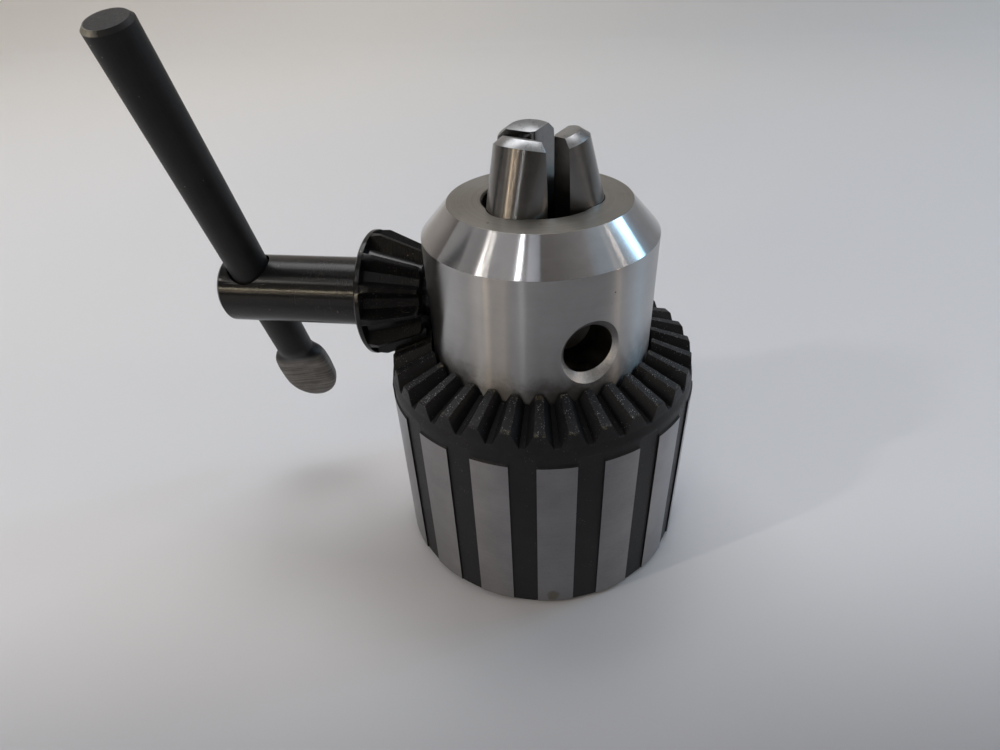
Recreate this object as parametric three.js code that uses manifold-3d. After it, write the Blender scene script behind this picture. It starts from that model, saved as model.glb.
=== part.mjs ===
// Keyed three-jaw drill chuck with its chuck key.
// Millimetres, +Z up along the chuck axis, origin on that axis at the rear face of the body.
// The jaws point up, the key stands in the key hole on the -X side.
import * as THREE from 'three';
import { ConvexGeometry } from 'three/addons/geometries/ConvexGeometry.js';
import { mergeVertices } from 'three/addons/utils/BufferGeometryUtils.js';
import Module from 'manifold-3d';

// ---------------------------------------------------------------- driving dimensions
// body
const BARREL_R = 18.46;        // ground nose cylinder
const NOSE_TOP_Z = 63.96;      // flat front face
const NOSE_TOP_R = 14.14;      // outer edge of the front face
const CHAMFER_Z = 59.14;       // where the nose chamfer starts
const BORE_R = 8.7;            // central drill clearance bore
const BORE_FLOOR_Z = 28.2;     // top of the web between bore and taper socket
const HUB_R = 24.05;           // rear hub, running surface of the sleeve
const HUB_TOP_Z = 24.1;        // shoulder that carries the thrust washer
const CORE_R = 15.5;           // floor of the nut groove
const GROOVE_TOP_Z = 35.4;     // upper wall of the nut groove
const SOCKET_R0 = 7.87;        // taper socket radius at the rear face
const SOCKET_R1 = 7.25;        // taper socket radius at its end
const SOCKET_DEPTH = 24.5;
// jaws
const JAW_R = 5.15;
const JAW_BORE_R = 5.42;
const JAW_TILT = THREE.MathUtils.degToRad(15);
const JAW_APEX_Z = 80.5;       // where the three jaw axes meet on the chuck axis
const JAW_TIP_S = 7.91;        // end face, square to the jaw axis, down that axis from the apex
const JAW_TIP_BEVEL = 1.2;     // 45 degrees, round the end face
const JAW_TAIL_Z = 22.5;       // jaw axis height at the tail, as drawn
const JAW_FLAT_OFFSET = 1.75;  // gripping flats from the planes through the chuck axis, as drawn
const JAW_TAIL_RADIAL = 19.6;  // tail bevel, a flat parallel to the chuck axis
const OPEN_TRAVEL = 17.3;      // from the drawn position to full capacity
const THREAD_PITCH = 2.0;      // jaw travel for one turn of the nut
const RACK_DEPTH = 0.8;
// nut and washer
const NUT_R = 23.0;
const NUT_Z0 = 26.1;
const NUT_Z1 = 35.0;
const NUT_SPLIT = 0.4;         // joint between the two halves
const WASHER_R0 = 20.8;
const WASHER_R1 = 23.9;
const WASHER_Z0 = 24.4;
const WASHER_Z1 = 25.8;
// sleeve
const SLEEVE_R = 26.5;         // over the lands
const FLUTE_R = 26.14;         // floor of the flutes
const BAND_R = 26.2;           // plain band over the lands
const LAND_TOP_Z = 33.0;
const SLEEVE_Z0 = 0.4;
const SKIRT_R = 24.4;          // inside the skirt
const NUT_SEAT_R = 23.3;
const SLEEVE_CEILING_Z = 35.3;
const GEAR_BORE_R = 18.9;
const LANDS = 16;
const FLUTE_W = 4.25;
// bevel gearing, both cones meet on the chuck axis at the key height
const KEY_Z = 46.7;
const GEAR_TEETH = 32;
const PINION_TEETH = 12;
const REF = 25.6;              // reference distance from the chuck axis
const GEAR_TIP = 8.3;          // tip below the key axis at REF
const GEAR_ROOT = 10.6;        // root below the key axis at REF
const GAP_HALF = 0.45;         // half width of a gear gap at its root
const FLANK = Math.tan(THREE.MathUtils.degToRad(29.5));
const PINION_TIP = 10.38;      // pinion tip radius at REF
const PINION_ROOT = 7.98;
const PINION_TIP_HALF = 0.40;  // half width of a pinion tooth at its tip
const PINION_FLANK = Math.tan(THREE.MathUtils.degToRad(20));
// key
const KEY_HOLE_R = 4.0;
const KEY_HOLE_BOTTOM = 10.5;  // from the chuck axis
const KEY_HOLE_SINK = 5.3;     // countersink radius at the barrel surface
const PILOT_R = 3.8;
const PILOT_END = 11.4;        // from the chuck axis
const PINION_FRONT = 19.2;
const RIM_IN = 27.7;
const RIM_OUT = 28.7;
const RIM_R = 10.62;
const SHANK_R = 5.86;
const SHANK_END = 55.4;
// cross bar
const BAR_AT = 50.1;           // from the chuck axis
const BAR_R = 3.33;
const BAR_HOLE_R = 3.7;
const BAR_LEAN = THREE.MathUtils.degToRad(-19.1);  // from upright, upper end towards -Y
const BAR_UP = 46.3;
const EAR_REACH = 4.25;        // from the bar axis
const BAR_DOWN = 33.0;
const PADDLE = [                // position along the bar, half width, half thickness
  [-15.2, 3.32, 3.32], [-17.3, 3.38, 2.95], [-19.1, 4.7, 2.2], [-20.6, 5.1, 1.95], [-23.6, 5.3, 1.8],
  [-27, 5.2, 1.75], [-29.5, 4.6, 1.7], [-31.5, 3.4, 1.55], [-32.6, 2.0, 1.3], [-BAR_DOWN, 0.9, 0.8],
];
const PADDLE_TURN = THREE.MathUtils.degToRad(11);  // of the paddle about the bar

// ---------------------------------------------------------------- solid helpers
const wasm = await Module();
wasm.setup();

function solid(geometry) {
  let g = geometry.clone();
  g.deleteAttribute('normal');
  g.deleteAttribute('uv');
  g = mergeVertices(g, 1e-5);
  const verts = new Float32Array(g.attributes.position.array);
  const src = g.index.array;
  const tris = [];
  for (let i = 0; i < src.length; i += 3) {
    if (src[i] !== src[i + 1] && src[i + 1] !== src[i + 2] && src[i] !== src[i + 2]) tris.push(src[i], src[i + 1], src[i + 2]);
  }
  let volume = 0;
  for (let i = 0; i < tris.length; i += 3) {
    const [a, b, c] = [tris[i] * 3, tris[i + 1] * 3, tris[i + 2] * 3];
    volume += verts[a] * (verts[b + 1] * verts[c + 2] - verts[b + 2] * verts[c + 1])
      - verts[a + 1] * (verts[b] * verts[c + 2] - verts[b + 2] * verts[c])
      + verts[a + 2] * (verts[b] * verts[c + 1] - verts[b + 1] * verts[c]);
  }
  if (volume < 0) for (let i = 0; i < tris.length; i += 3) [tris[i + 1], tris[i + 2]] = [tris[i + 2], tris[i + 1]];
  return new wasm.Manifold(new wasm.Mesh({ numProp: 3, vertProperties: verts, triVerts: new Uint32Array(tris) }));
}

function geometryOf(body) {
  const m = body.getMesh();
  const g = new THREE.BufferGeometry();
  g.setAttribute('position', new THREE.BufferAttribute(new Float32Array(m.vertProperties), 3));
  g.setIndex(new THREE.BufferAttribute(new Uint32Array(m.triVerts), 1));
  g.computeVertexNormals();
  return g;
}

// solid of revolution about Z from [radius, height] pairs
function turned(points, segments) {
  const g = new THREE.LatheGeometry(points.map(([r, z]) => new THREE.Vector2(r, z)), segments);
  g.rotateX(Math.PI / 2);
  return g;
}

function cylinder(radius, length, segments) {
  const g = new THREE.CylinderGeometry(radius, radius, length, segments);
  g.rotateX(Math.PI / 2);          // along Z, centred
  return g;
}

function convex(points) {
  return new ConvexGeometry(points.map(([x, y, z]) => new THREE.Vector3(x, y, z)));
}

// closed body through rings with the same number of points
function loft(rings) {
  const n = rings[0].length;
  const last = (rings.length - 1) * n;
  const index = [];
  for (let j = 0; j < last; j += n) {
    for (let i = 0; i < n; i++) {
      const [a, b] = [j + i, j + (i + 1) % n];
      index.push(a, b, b + n, a, b + n, a + n);
    }
  }
  for (let i = 1; i + 1 < n; i++) index.push(0, i + 1, i, last, last + i, last + i + 1);
  const g = new THREE.BufferGeometry();
  g.setAttribute('position', new THREE.BufferAttribute(new Float32Array(rings.flat(2)), 3));
  g.setIndex(index);
  return g;
}

function aboutZ(geometry, angle) {
  const g = geometry.clone();
  g.rotateZ(angle);
  return g;
}

// moves a shape drawn about Z at the origin onto a jaw axis in the XZ plane;
// s is the distance down the axis from the apex
function onJawAxis(geometry, s) {
  const g = geometry.clone();
  g.rotateY(-JAW_TILT);
  g.translate(s * Math.sin(JAW_TILT), 0, JAW_APEX_Z - s * Math.cos(JAW_TILT));
  return g;
}

const T15 = Math.tan(JAW_TILT);
const jawAxisR = (z) => (JAW_APEX_Z - z) * T15;
const jawReach = (z) => jawAxisR(z) + JAW_R / Math.cos(JAW_TILT);
const TURN3 = [0, 1, 2].map((k) => k * 2 * Math.PI / 3);
const HOLES = [Math.PI / 3, Math.PI, 5 * Math.PI / 3];

// ---------------------------------------------------------------- chuck body
function makeBody() {
  let b = solid(turned([
    [0, SOCKET_DEPTH], [SOCKET_R1, SOCKET_DEPTH], [SOCKET_R0, 0.6], [SOCKET_R0 + 0.6, 0],
    [HUB_R - 1.0, 0], [HUB_R, 1.0], [HUB_R, HUB_TOP_Z], [CORE_R, HUB_TOP_Z], [CORE_R, GROOVE_TOP_Z],
    [BARREL_R, GROOVE_TOP_Z], [BARREL_R, CHAMFER_Z], [NOSE_TOP_R, NOSE_TOP_Z],
    [BORE_R + 0.3, NOSE_TOP_Z], [BORE_R, NOSE_TOP_Z - 0.3], [BORE_R, BORE_FLOOR_Z], [0, BORE_FLOOR_Z],
  ], 60));
  const sEnd = (JAW_APEX_Z - JAW_TAIL_Z) / Math.cos(JAW_TILT) + OPEN_TRAVEL + 0.35;
  const sTop = (JAW_APEX_Z - NOSE_TOP_Z) / Math.cos(JAW_TILT) - 4;
  const bore = onJawAxis(cylinder(JAW_BORE_R, sEnd - sTop, 24), (sEnd + sTop) / 2);
  for (const a of TURN3) b = b.subtract(solid(aboutZ(bore, a)));
  // key holes: drilled radially, cone at the drill point, 45 degree countersink at the mouth
  const sinkLen = KEY_HOLE_SINK - KEY_HOLE_R;
  const hole = turned([
    [0, KEY_HOLE_BOTTOM - 1.2], [KEY_HOLE_R, KEY_HOLE_BOTTOM], [KEY_HOLE_R, BARREL_R - sinkLen],
    [KEY_HOLE_SINK + 1.6, BARREL_R + 1.6], [0, BARREL_R + 1.6],
  ], 24);
  hole.rotateY(Math.PI / 2);
  hole.translate(0, 0, KEY_Z);
  for (const a of HOLES) b = b.subtract(solid(aboutZ(hole, a)));
  return geometryOf(b);
}

// ---------------------------------------------------------------- jaw, drawn in the XZ plane
function makeJaw() {
  const sTail = (JAW_APEX_Z - JAW_TAIL_Z) / Math.cos(JAW_TILT);
  const half = (sTail - JAW_TIP_S) / 2;
  let j = solid(onJawAxis(turned([
    [0, -half], [JAW_R, -half], [JAW_R, half - JAW_TIP_BEVEL], [JAW_R - JAW_TIP_BEVEL, half], [0, half],
  ], 24), (sTail + JAW_TIP_S) / 2));
  // 120 degree gripping wedge, its edge parallel to the chuck axis
  const edge = JAW_FLAT_OFFSET / Math.sin(Math.PI / 3);
  const far = 32;
  const wedge = new THREE.Shape([
    new THREE.Vector2(edge, 0),
    new THREE.Vector2(far, -(far - edge) * Math.sqrt(3)),
    new THREE.Vector2(far, (far - edge) * Math.sqrt(3)),
  ]);
  const prism = new THREE.ExtrudeGeometry(wedge, { depth: 66, bevelEnabled: false });
  prism.translate(0, 0, 10);
  j = j.intersect(solid(prism));
  // narrow gripping edge
  const nib = new THREE.BoxGeometry(0.5, 6, 40);
  nib.translate(edge, 0, 56);
  j = j.subtract(solid(nib));
  // tail bevel that clears the skirt when the jaws are open
  const bevel = new THREE.BoxGeometry(10, 14, 30);
  bevel.translate(JAW_TAIL_RADIAL + 5, 0, JAW_TAIL_Z);
  j = j.subtract(solid(bevel));
  // rack: teeth square to the chuck axis on the outer side, pitch taken along the jaw
  const dz = THREAD_PITCH * Math.cos(JAW_TILT);
  for (let k = 0; k < 14; k++) {
    const z = JAW_TAIL_Z + 1.6 + k * dz;
    const x = Math.min(jawReach(z), z < 28 ? JAW_TAIL_RADIAL : 99);
    j = j.subtract(solid(convex([
      [x - RACK_DEPTH, -6, z - 0.12], [x - RACK_DEPTH, -6, z + 0.12], [x + 1.2, -6, z + 0.95], [x + 1.2, -6, z - 0.95],
      [x - RACK_DEPTH, 6, z - 0.12], [x - RACK_DEPTH, 6, z + 0.12], [x + 1.2, 6, z + 0.95], [x + 1.2, 6, z - 0.95],
    ])));
  }
  return geometryOf(j);
}

// ---------------------------------------------------------------- split nut
function makeNutHalf() {
  const clear = 0.3;
  let n = solid(turned([
    [jawReach(NUT_Z0) + clear, NUT_Z0], [NUT_R - 0.5, NUT_Z0], [NUT_R, NUT_Z0 + 0.5],
    [NUT_R, NUT_Z1 - 0.5], [NUT_R - 0.5, NUT_Z1], [jawReach(NUT_Z1) + clear, NUT_Z1],
    [jawReach(NUT_Z0) + clear, NUT_Z0],
  ], 48));
  const cut = new THREE.BoxGeometry(60, 30, 20);
  cut.translate(0, -15 + NUT_SPLIT / 2, (NUT_Z0 + NUT_Z1) / 2);
  n = n.subtract(solid(cut));
  return geometryOf(n);
}

function makeWasher() {
  return geometryOf(solid(turned([
    [WASHER_R0, WASHER_Z0], [WASHER_R1, WASHER_Z0], [WASHER_R1, WASHER_Z1], [WASHER_R0, WASHER_Z1], [WASHER_R0, WASHER_Z0],
  ], 48)));
}

// ---------------------------------------------------------------- geared sleeve
function makeSleeve() {
  const tipZ = (r) => KEY_Z - GEAR_TIP * r / REF;
  let s = solid(turned([
    [SKIRT_R + 0.4, SLEEVE_Z0], [SLEEVE_R - 0.6, SLEEVE_Z0], [SLEEVE_R, SLEEVE_Z0 + 0.6],
    [SLEEVE_R, LAND_TOP_Z - 0.25], [BAND_R, LAND_TOP_Z + 0.1], [BAND_R - 0.02, 34.6], [25.85, 36.0], [REF, tipZ(REF) - 0.15],
    [REF - 0.2, tipZ(REF - 0.2)], [GEAR_BORE_R, tipZ(GEAR_BORE_R)], [GEAR_BORE_R, SLEEVE_CEILING_Z],
    [NUT_SEAT_R, SLEEVE_CEILING_Z], [NUT_SEAT_R, NUT_Z0], [SKIRT_R, NUT_Z0 - 0.3], [SKIRT_R, SLEEVE_Z0 + 0.4],
    [SKIRT_R + 0.4, SLEEVE_Z0],
  ], 64));
  // flutes between the lands
  const flute = new THREE.BoxGeometry(4, FLUTE_W, 34.2);
  flute.translate(FLUTE_R + 2, 0, 34.2 / 2);
  for (let k = 0; k < LANDS; k++) s = s.subtract(solid(aboutZ(flute, k * 2 * Math.PI / LANDS)));
  // tooth gaps taper towards the cone apex
  const pts = [];
  for (const x of [15, 30]) {
    const f = x / REF;
    const top = GAP_HALF + (GEAR_ROOT - GEAR_TIP + 2) * FLANK;
    for (const [y, d] of [[GAP_HALF, GEAR_ROOT], [-GAP_HALF, GEAR_ROOT], [top, GEAR_TIP - 2], [-top, GEAR_TIP - 2]]) pts.push([x, y * f, KEY_Z - d * f]);
  }
  const gap = convex(pts);
  for (let k = 0; k < GEAR_TEETH; k++) s = s.subtract(solid(aboutZ(gap, k * 2 * Math.PI / GEAR_TEETH)));
  return geometryOf(s);
}

// ---------------------------------------------------------------- key, drawn along +Z from the chuck axis outwards
function makeKey() {
  const tip = (s) => PINION_TIP * s / REF;
  let k = solid(turned([
    [0, PILOT_END], [PILOT_R - 0.8, PILOT_END], [PILOT_R, PILOT_END + 0.8], [PILOT_R, PINION_FRONT],
    [tip(PINION_FRONT) - 0.4, PINION_FRONT], [tip(PINION_FRONT + 0.4), PINION_FRONT + 0.4], [tip(26.1), 26.1], [RIM_R - 0.1, RIM_IN - 0.2],
    [RIM_R, RIM_IN], [RIM_R, RIM_OUT - 0.35], [RIM_R - 0.35, RIM_OUT], [SHANK_R + 0.35, RIM_OUT], [SHANK_R, RIM_OUT + 0.35],
    [SHANK_R, SHANK_END - 0.7], [SHANK_R - 0.7, SHANK_END], [0, SHANK_END],
  ], 36));
  // gap between two pinion teeth, at REF, across a radius at angle zero
  const half = Math.PI / PINION_TEETH;
  const flankAt = (rho) => {
    const y = PINION_TIP_HALF + (PINION_TIP - rho) * PINION_FLANK;
    return Math.max(0.12, rho * Math.sin(half - Math.asin(Math.max(-1, Math.min(1, y / rho)))));
  };
  const pts = [];
  for (const s of [14, RIM_IN]) {
    const f = s / REF;
    for (const rho of [PINION_ROOT, PINION_TIP, PINION_TIP + 1.5]) {
      const w = rho > PINION_TIP ? flankAt(PINION_TIP) + 1.5 * 0.9 : flankAt(rho);
      pts.push([rho * f, w * f, s], [rho * f, -w * f, s]);
    }
  }
  const gap = convex(pts);
  for (let i = 0; i < PINION_TEETH; i++) k = k.subtract(solid(aboutZ(gap, (i + 0.5) * 2 * half)));
  // cross hole for the bar
  const hole = cylinder(BAR_HOLE_R, 20, 24);
  hole.rotateY(Math.PI / 2);
  hole.rotateZ(BAR_LEAN);
  hole.translate(0, 0, BAR_AT);
  k = k.subtract(solid(hole));
  return geometryOf(k);
}

// ---------------------------------------------------------------- cross bar, drawn along Z
function makeBar() {
  const ring = (t, a, b, n = 20) => Array.from({ length: n }, (_, i) => {
    const u = (i / n) * 2 * Math.PI;
    return [a * Math.cos(u), b * Math.sin(u), t];
  });
  let b = solid(turned([
    [0, -16.2], [BAR_R, -16.2], [BAR_R, BAR_UP - 0.5], [BAR_R - 0.5, BAR_UP], [0, BAR_UP],
  ], 20));
  // one staked ear on the far side keeps the upper end from passing the hole
  const ear = [[3.6, 3.1, 1.1], [2.8, EAR_REACH, 1.0], [1.4, EAR_REACH, 1.0], [0.7, 3.1, 1.1]].flatMap(([d, y, w]) => [
    [w, 0, BAR_UP - d], [-w, 0, BAR_UP - d], [w, y - 0.2, BAR_UP - d], [-w, y - 0.2, BAR_UP - d], [w / 2, y, BAR_UP - d], [-w / 2, y, BAR_UP - d],
  ]);
  b = b.add(solid(convex(ear)));
  // swaged paddle at the lower end
  const paddle = loft(PADDLE.map(([t, w, h]) => ring(t, w, h)));
  paddle.rotateZ(PADDLE_TURN);
  b = b.add(solid(paddle));
  return geometryOf(b);
}

// ---------------------------------------------------------------- assembly
const steel = (color, roughness, metalness = 1) => new THREE.MeshStandardMaterial({ color, roughness, metalness, flatShading: true });
const ground = steel(0xb9b4ab, 0.28);
const jawSteel = steel(0x5c5852, 0.35);
const oxide = steel(0x16161a, 0.5, 0.7);
const oxideGloss = steel(0x111214, 0.3, 0.7);
const oxideBar = steel(0x141417, 0.42, 0.7);
const nutSteel = steel(0x6f6b66, 0.45);
const hardened = steel(0x8d8a86, 0.3);

function mesh(name, geometry, material) {
  const m = new THREE.Mesh(geometry, material);
  m.name = name;
  return m;
}

const chuck = new THREE.Group();
chuck.add(mesh('chuck_body', makeBody(), ground));

const jawGeometry = makeJaw();
TURN3.forEach((a, i) => {
  const jaw = mesh(`jaw_${i + 1}`, jawGeometry, jawSteel);
  jaw.rotation.z = a;
  chuck.add(jaw);
});

const running = new THREE.Group();          // what turns with the sleeve
running.add(mesh('geared_sleeve', makeSleeve(), oxide));
const nutGeometry = makeNutHalf();
['nut_half_a', 'nut_half_b'].forEach((name, i) => {
  const half = mesh(name, nutGeometry, nutSteel);
  half.rotation.z = i * Math.PI;
  running.add(half);
});
chuck.add(running);
chuck.add(mesh('thrust_washer', makeWasher(), hardened));

const key = new THREE.Group();              // local +Z runs outwards along the key, local X points up
key.position.set(0, 0, KEY_Z);
key.rotation.y = -Math.PI / 2;
key.add(mesh('chuck_key', makeKey(), oxideGloss));
const bar = mesh('key_cross_bar', makeBar(), oxideBar);
bar.position.set(0, 0, BAR_AT);
bar.rotation.set(0, Math.PI / 2, 0);
const barTurn = new THREE.Group();
barTurn.rotation.z = BAR_LEAN;
barTurn.add(bar);
key.add(barTurn);
chuck.add(key);

export default chuck;
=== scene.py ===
import bpy
import bmesh
import math
from mathutils import Matrix, Vector


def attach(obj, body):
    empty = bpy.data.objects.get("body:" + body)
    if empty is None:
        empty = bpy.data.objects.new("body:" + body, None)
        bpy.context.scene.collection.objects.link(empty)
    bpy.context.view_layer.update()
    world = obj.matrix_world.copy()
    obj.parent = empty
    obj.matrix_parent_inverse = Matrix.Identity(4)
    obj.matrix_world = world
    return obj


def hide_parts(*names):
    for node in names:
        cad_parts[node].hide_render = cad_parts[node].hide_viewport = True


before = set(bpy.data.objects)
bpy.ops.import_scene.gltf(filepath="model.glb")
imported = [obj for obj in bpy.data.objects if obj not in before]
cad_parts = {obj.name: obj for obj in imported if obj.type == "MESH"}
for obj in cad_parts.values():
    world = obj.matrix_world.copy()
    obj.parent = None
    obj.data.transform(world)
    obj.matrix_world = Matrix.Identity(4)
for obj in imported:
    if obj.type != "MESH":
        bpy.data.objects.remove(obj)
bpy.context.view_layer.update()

scene = bpy.context.scene
MM = 0.001
TAU = 2 * math.pi

# ------------------------------------------------------------------ sizes, as in the CAD source (mm)
BARREL_R, NOSE_TOP_Z, NOSE_TOP_R, CHAMFER_Z = 18.46, 63.96, 14.14, 59.14
BORE_R, BORE_FLOOR_Z = 8.7, 28.2
HUB_R, HUB_TOP_Z, CORE_R, GROOVE_TOP_Z = 24.05, 24.1, 15.5, 35.4
JAW_R, JAW_BORE_R, JAW_TILT, JAW_APEX_Z = 5.15, 5.26, math.radians(15), 80.5
JAW_TIP_S, JAW_TIP_BEVEL, JAW_TAIL_Z, JAW_FLAT, JAW_TAIL_RADIAL = 7.91, 1.2, 22.5, 1.75, 19.6
OPEN_TRAVEL, PITCH, RACK_DEPTH = 17.3, 2.0, 0.8
SLEEVE_R, FLUTE_R, BAND_R, LAND_TOP_Z, SLEEVE_Z0 = 26.48, 26.12, 26.2, 33.0, 0.4
SKIRT_R, NUT_SEAT_R, CEILING_Z, GEAR_BORE_R = 24.4, 23.3, 35.3, 18.9
NUT_R, NUT_Z0, NUT_Z1, NUT_SPLIT = 23.0, 26.1, 35.0, 0.4
WASHER_R0, WASHER_R1, WASHER_Z0, WASHER_Z1 = 20.8, 23.9, 24.4, 25.8
LANDS, FLUTE_W, GEAR_TEETH, PINION_TEETH = 16, 4.25, 32, 12
KEY_Z, REF, GEAR_TIP, GEAR_ROOT, GAP_HALF = 46.7, 25.6, 8.3, 10.6, 0.45
FLANK, PINION_FLANK = math.tan(math.radians(29.5)), math.tan(math.radians(20))
PINION_TIP, PINION_ROOT, PINION_TIP_HALF = 10.38, 7.98, 0.40
KEY_HOLE_R, KEY_HOLE_BOTTOM, KEY_HOLE_SINK = 4.0, 10.5, 5.3
PILOT_R, PILOT_END, PINION_FRONT, RIM_IN, RIM_OUT, RIM_R = 3.8, 11.4, 19.2, 27.7, 28.7, 10.62
SHANK_R, SHANK_END, BAR_AT, BAR_R, BAR_HOLE_R = 5.86, 55.4, 50.1, 3.33, 3.7
BAR_LEAN, BAR_UP, PADDLE_TURN = math.radians(-19.1), 46.3, math.radians(11)
T15 = math.tan(JAW_TILT)


def jaw_reach(z):
    return (JAW_APEX_Z - z) * T15 + JAW_R / math.cos(JAW_TILT)


# ------------------------------------------------------------------ mesh tools
def mesh_object(name, verts, faces):
    me = bpy.data.meshes.new(name)
    me.from_pydata([tuple(c * MM for c in v) for v in verts], [], faces)
    me.validate()
    bm = bmesh.new()
    bm.from_mesh(me)
    bmesh.ops.remove_doubles(bm, verts=bm.verts, dist=1e-7)
    bmesh.ops.recalc_face_normals(bm, faces=bm.faces)
    bm.to_mesh(me)
    bm.free()
    ob = bpy.data.objects.new(name, me)
    scene.collection.objects.link(ob)
    return ob


def rounded(profile, steps=4):
    """[(r, z) or (r, z, radius)] -> points with each stated corner rounded."""
    out = []
    n = len(profile)
    closed = profile[0][:2] == profile[-1][:2]
    for i, p in enumerate(profile):
        rad = p[2] if len(p) > 2 else 0
        if not rad or (not closed and i in (0, n - 1)):
            out.append((p[0], p[1]))
            continue
        a = profile[i - 1] if i else profile[-2]
        b = profile[(i + 1) % n] if i < n - 1 else profile[1]
        P, A, B = Vector(p[:2]), Vector(a[:2]), Vector(b[:2])
        u, v = (A - P).normalized(), (B - P).normalized()
        ang = u.angle(v)
        d = min(rad / math.tan(ang / 2), (A - P).length * 0.49, (B - P).length * 0.49)
        r = d * math.tan(ang / 2)
        c = P + (u + v).normalized() * (r / math.sin(ang / 2))
        s, e = P + u * d - c, P + v * d - c
        full = s.angle_signed(e)
        for k in range(steps + 1):
            w = -full * k / steps
            q = Vector((s.x * math.cos(w) - s.y * math.sin(w), s.x * math.sin(w) + s.y * math.cos(w)))
            out.append((c.x + q.x, c.y + q.y))
    return out


def turned(name, profile, seg, steps=4):
    pts = rounded(profile, steps)
    closed = (Vector(pts[0]) - Vector(pts[-1])).length < 1e-6
    if closed:
        pts = pts[:-1]
    verts, rings = [], []
    for r, z in pts:
        if r < 1e-6:
            rings.append([len(verts)] * seg)
            verts.append((0, 0, z))
        else:
            rings.append(list(range(len(verts), len(verts) + seg)))
            verts += [(r * math.cos(TAU * i / seg), r * math.sin(TAU * i / seg), z) for i in range(seg)]
    faces = []
    m = len(rings)
    for k in range(m if closed else m - 1):
        a, b = rings[k], rings[(k + 1) % m]
        for i in range(seg):
            j = (i + 1) % seg
            f = [a[i], a[j], b[j], b[i]]
            g = []
            for x in f:
                if x not in g:
                    g.append(x)
            if len(g) > 2:
                faces.append(g)
    return mesh_object(name, verts, faces)


def hull(name, points):
    me = bpy.data.meshes.new(name)
    bm = bmesh.new()
    for p in points:
        bm.verts.new([c * MM for c in p])
    bmesh.ops.convex_hull(bm, input=bm.verts)
    loose = [v for v in bm.verts if not v.link_faces]
    bmesh.ops.delete(bm, geom=loose, context="VERTS")
    bmesh.ops.dissolve_limit(bm, angle_limit=math.radians(0.5), verts=bm.verts, edges=bm.edges)
    bmesh.ops.recalc_face_normals(bm, faces=bm.faces)
    bm.to_mesh(me)
    bm.free()
    ob = bpy.data.objects.new(name, me)
    scene.collection.objects.link(ob)
    return ob


def box_points(x0, x1, y0, y1, z0, z1):
    return [(x, y, z) for x in (x0, x1) for y in (y0, y1) for z in (z0, z1)]


def transform(ob, m):
    ob.data.transform(m)
    ob.data.update()
    return ob


def mm_move(x, y, z):
    return Matrix.Translation((x * MM, y * MM, z * MM))


def copies(ob, angles, axis="Z"):
    """One mesh holding a turned copy of ob for each angle; ob itself goes."""
    bm = bmesh.new()
    for a in angles:
        me = ob.data.copy()
        me.transform(Matrix.Rotation(a, 4, axis))
        bm.from_mesh(me)
        bpy.data.meshes.remove(me)
    bm.to_mesh(ob.data)
    bm.free()
    return ob


def drop(ob):
    me = ob.data
    bpy.data.objects.remove(ob)
    bpy.data.meshes.remove(me)


def bake_modifiers(ob):
    bpy.context.view_layer.update()
    dg = bpy.context.evaluated_depsgraph_get()
    me = bpy.data.meshes.new_from_object(ob.evaluated_get(dg), depsgraph=dg)
    old = ob.data
    ob.modifiers.clear()
    ob.data = me
    bpy.data.meshes.remove(old)
    return ob


def cut(ob, tool, op="DIFFERENCE", solver="EXACT"):
    m = ob.modifiers.new("cut", "BOOLEAN")
    m.operation, m.object, m.solver = op, tool, solver
    if solver == "EXACT":
        m.use_self = False
    bake_modifiers(ob)
    drop(tool)
    return ob


def tidy(ob, dist=2e-6):
    bm = bmesh.new()
    bm.from_mesh(ob.data)
    bmesh.ops.remove_doubles(bm, verts=bm.verts, dist=dist)
    bmesh.ops.dissolve_degenerate(bm, edges=bm.edges, dist=dist)
    bm.to_mesh(ob.data)
    bm.free()
    return ob


def soften(ob, width, angle=28, segments=2, sharp=35):
    if width:
        m = ob.modifiers.new("edge", "BEVEL")
        m.width, m.segments = width * MM, segments
        m.limit_method, m.angle_limit = "ANGLE", math.radians(angle)
        m.use_clamp_overlap = True
        m.miter_outer = "MITER_ARC"
        bake_modifiers(ob)
    me = ob.data
    me.shade_smooth()
    me.set_sharp_from_angle(angle=math.radians(sharp))
    w = ob.modifiers.new("normals", "WEIGHTED_NORMAL")
    w.keep_sharp, w.weight, w.mode = True, 100, "FACE_AREA"
    bake_modifiers(ob)
    return ob


# ------------------------------------------------------------------ camera
def place_camera():
    yaw, pitch, roll = math.radians(-10.54), math.radians(35.61), math.radians(-3.01)
    fwd = Vector((math.sin(yaw) * math.cos(pitch), math.cos(yaw) * math.cos(pitch), -math.sin(pitch)))
    right = Vector((math.cos(yaw), -math.sin(yaw), 0))
    up = right.cross(fwd)
    r2 = math.cos(roll) * right + math.sin(roll) * up
    u2 = -math.sin(roll) * right + math.cos(roll) * up
    m = Matrix((r2, u2, -fwd)).transposed().to_4x4()
    m.translation = Vector((9.68, -92.09, 97.33)) * MM
    data = bpy.data.cameras.new("camera")
    data.sensor_width, data.lens = 36.0, 22.49
    data.clip_start, data.clip_end = 0.005, 20
    cam = bpy.data.objects.new("camera", data)
    cam.matrix_world = m
    scene.collection.objects.link(cam)
    scene.camera = cam


place_camera()


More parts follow.
